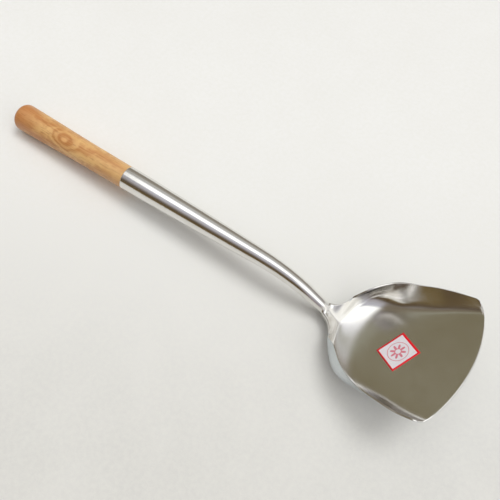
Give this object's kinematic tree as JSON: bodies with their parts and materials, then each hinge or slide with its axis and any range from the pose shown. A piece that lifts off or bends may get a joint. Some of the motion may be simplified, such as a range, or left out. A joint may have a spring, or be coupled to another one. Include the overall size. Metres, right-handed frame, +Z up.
{
  "type": "wok spatula",
  "caption": "Long-handled wok spatula: a steel blade with raised side walls, pressed in one sheet with a rolled tubular shank, and a turned wooden grip in the shank's end",
  "frame": {"origin": "on the resting plane, under the middle of the spatula's bounding box", "axes": "+X along the handle towards the blade's front edge, +Z up with the spatula lying on its butt and heel, Y across its plane of symmetry"},
  "size_m": [0.451, 0.1126, 0.0651],
  "materials": {
    "blade_with_shank": "polished, with a satin floor",
    "wooden_grip": "oiled, satin"
  },
  "bodies": {
    "root": {"blade_with_shank": "blade_with_shank", "wooden_grip": "wooden_grip"}
  },
  "joints": []
}
